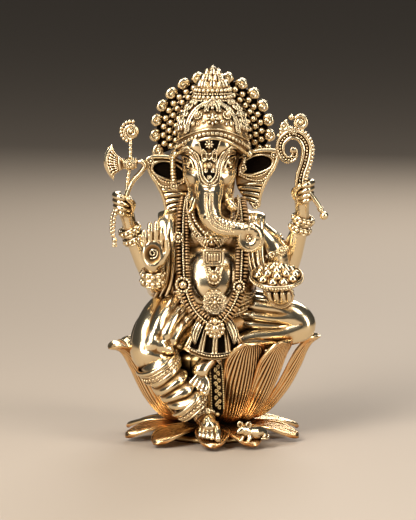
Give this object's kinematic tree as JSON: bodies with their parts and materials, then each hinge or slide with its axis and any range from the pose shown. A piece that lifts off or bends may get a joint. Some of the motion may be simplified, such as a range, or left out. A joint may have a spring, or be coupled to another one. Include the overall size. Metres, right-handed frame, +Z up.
{
  "type": "seated elephant-headed deity idol",
  "caption": "Seated elephant-headed deity figure with several arms on a lotus seat, cast in brass, holding an axe, a goad and a bowl of sweets.",
  "frame": {"origin": "middle of the lotus hub's flat underside, on which the idol stands", "axes": "+Z up through the crown, -Y the way the figure faces, +X towards the figure's left hand side"},
  "size_m": [0.1065, 0.0882, 0.178],
  "materials": {
    "polished_brass": "polished, with dark patina left in the recesses",
    "patina_brass": "darkened antique patina, polished on the high spots"
  },
  "bodies": {
    "root": {"torso": "polished_brass", "lotus_hub": "polished_brass", "head": "polished_brass", "left_foot": "polished_brass", "right_foot": "polished_brass", "right_calf": "polished_brass", "right_thigh": "polished_brass", "left_leg": "polished_brass", "rear_right_hand": "polished_brass", "rear_left_hand": "polished_brass", "front_right_hand": "polished_brass", "front_left_hand": "polished_brass", "rear_right_forearm": "polished_brass", "rear_right_upper_arm": "polished_brass", "rear_left_forearm": "polished_brass", "rear_left_upper_arm": "polished_brass", "front_right_arm": "polished_brass", "front_left_arm": "polished_brass", "trunk": "polished_brass", "right_tusk": "polished_brass", "left_tusk": "polished_brass", "halo": "patina_brass", "crown": "polished_brass", "crown_finial": "polished_brass", "left_ear": "polished_brass", "right_ear": "polished_brass", "brow_ornament": "polished_brass", "axe": "polished_brass", "prayer_beads": "polished_brass", "goad": "polished_brass", "bowl": "polished_brass", "sweets": "polished_brass", "shawl": "polished_brass", "waistband": "polished_brass", "garland": "polished_brass", "collar_necklace": "polished_brass", "amulet": "polished_brass", "waist_flower": "polished_brass", "apron": "polished_brass", "sash_end": "patina_brass", "upper_petal_1": "polished_brass", "upper_petal_2": "polished_brass", "upper_petal_3": "polished_brass", "upper_petal_4": "polished_brass", "upper_petal_5": "polished_brass", "upper_petal_6": "polished_brass", "upper_petal_7": "polished_brass", "upper_petal_8": "polished_brass", "upper_petal_9": "polished_brass", "base_petal_1": "polished_brass", "base_petal_2": "polished_brass", "base_petal_3": "polished_brass", "base_petal_4": "polished_brass", "base_petal_5": "polished_brass", "base_petal_6": "polished_brass", "base_petal_7": "polished_brass", "base_petal_8": "polished_brass", "base_petal_9": "polished_brass", "base_petal_10": "polished_brass", "mouse": "polished_brass"}
  },
  "joints": []
}
